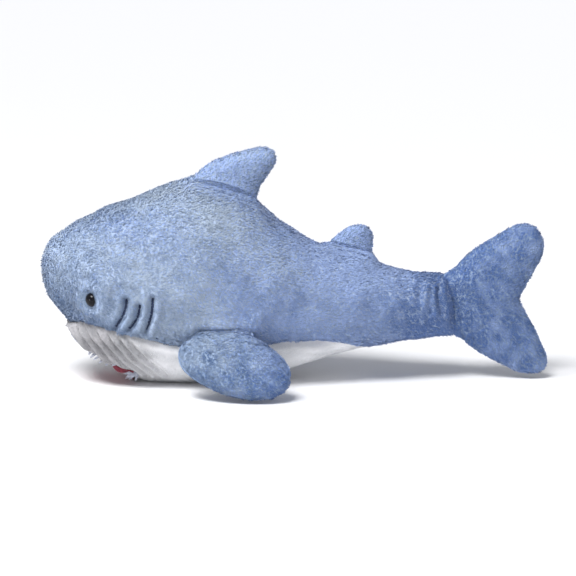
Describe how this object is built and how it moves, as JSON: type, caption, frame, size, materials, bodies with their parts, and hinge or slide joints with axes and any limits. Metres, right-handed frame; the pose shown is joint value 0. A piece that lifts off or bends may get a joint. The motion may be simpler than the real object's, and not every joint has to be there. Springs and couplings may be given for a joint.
{
  "type": "plush shark",
  "caption": "Stuffed plush shark with a fat rounded body, white belly, open mouth with felt teeth, soft paddle fins and a bending tail.",
  "frame": {"origin": "on the floor, under the middle of the box round the whole shark", "axes": "nose towards -X, back towards +Z, the shark's left side towards -Y"},
  "size_m": [0.5061, 0.2532, 0.2365],
  "materials": {
    "blue_plush": "matte",
    "white_plush": "matte",
    "fibre_filling": "matte",
    "red_lining": "matte",
    "tooth_felt": "matte",
    "eye_plastic": "gloss",
    "washer_plastic": "matte",
    "navy_thread": "satin",
    "pale_thread": "satin"
  },
  "bodies": {
    "torso": {"left_side_panel": "blue_plush", "right_side_panel": "blue_plush", "belly_panel": "white_plush", "body_filling": "fibre_filling", "mouth_lining": "red_lining", "upper_teeth": "tooth_felt", "lower_teeth": "tooth_felt", "left_eye": "eye_plastic", "right_eye": "eye_plastic", "left_eye_washer": "washer_plastic", "right_eye_washer": "washer_plastic", "left_gill_stitches": "navy_thread", "right_gill_stitches": "navy_thread", "closing_seam": "pale_thread"},
    "tail_stock": {"left_stock_panel": "blue_plush", "right_stock_panel": "blue_plush", "stock_filling": "fibre_filling"},
    "tail_fin": {"tail_fin_left_panel": "blue_plush", "tail_fin_right_panel": "blue_plush", "tail_fin_filling": "fibre_filling"},
    "first_dorsal": {"first_dorsal_left_panel": "blue_plush", "first_dorsal_right_panel": "blue_plush", "first_dorsal_filling": "fibre_filling"},
    "second_dorsal": {"second_dorsal_left_panel": "blue_plush", "second_dorsal_right_panel": "blue_plush", "second_dorsal_filling": "fibre_filling"},
    "left_pectoral": {"left_pectoral_upper_panel": "blue_plush", "left_pectoral_lower_panel": "blue_plush", "left_pectoral_filling": "fibre_filling"},
    "right_pectoral": {"right_pectoral_upper_panel": "blue_plush", "right_pectoral_lower_panel": "blue_plush", "right_pectoral_filling": "fibre_filling"}
  },
  "joints": [
    {"name": "tail_bend", "type": "hinge", "parent": "torso", "child": "tail_stock", "pos_m": [0.09, 0, 0.075], "axis": [0, 0, 1], "range_deg": [-13, 13], "stiffness_Nm_per_rad": 1},
    {"name": "tail_fin_swing", "type": "hinge", "parent": "tail_stock", "child": "tail_fin", "pos_m": [0.164, 0, 0.076], "axis": [-0.1393, 0, 0.9903], "range_deg": [-35, 35], "stiffness_Nm_per_rad": 0.5},
    {"name": "first_dorsal_fold", "type": "hinge", "parent": "torso", "child": "first_dorsal", "pos_m": [-0.071, 0, 0.1995], "axis": [0.9609, 0, -0.2767], "range_deg": [-40, 40], "stiffness_Nm_per_rad": 0.3},
    {"name": "second_dorsal_fold", "type": "hinge", "parent": "torso", "child": "second_dorsal", "pos_m": [0.056, 0, 0.1365], "axis": [0.9648, 0, -0.2631], "range_deg": [-40, 40], "stiffness_Nm_per_rad": 0.2},
    {"name": "left_pectoral_flap", "type": "hinge", "parent": "torso", "child": "left_pectoral", "pos_m": [-0.072, -0.08, 0.061], "axis": [-1, 0, 0], "range_deg": [-10, 50], "stiffness_Nm_per_rad": 0.6},
    {"name": "right_pectoral_flap", "type": "hinge", "parent": "torso", "child": "right_pectoral", "pos_m": [-0.072, 0.08, 0.061], "axis": [1, 0, 0], "range_deg": [-10, 50], "stiffness_Nm_per_rad": 0.6}
  ]
}
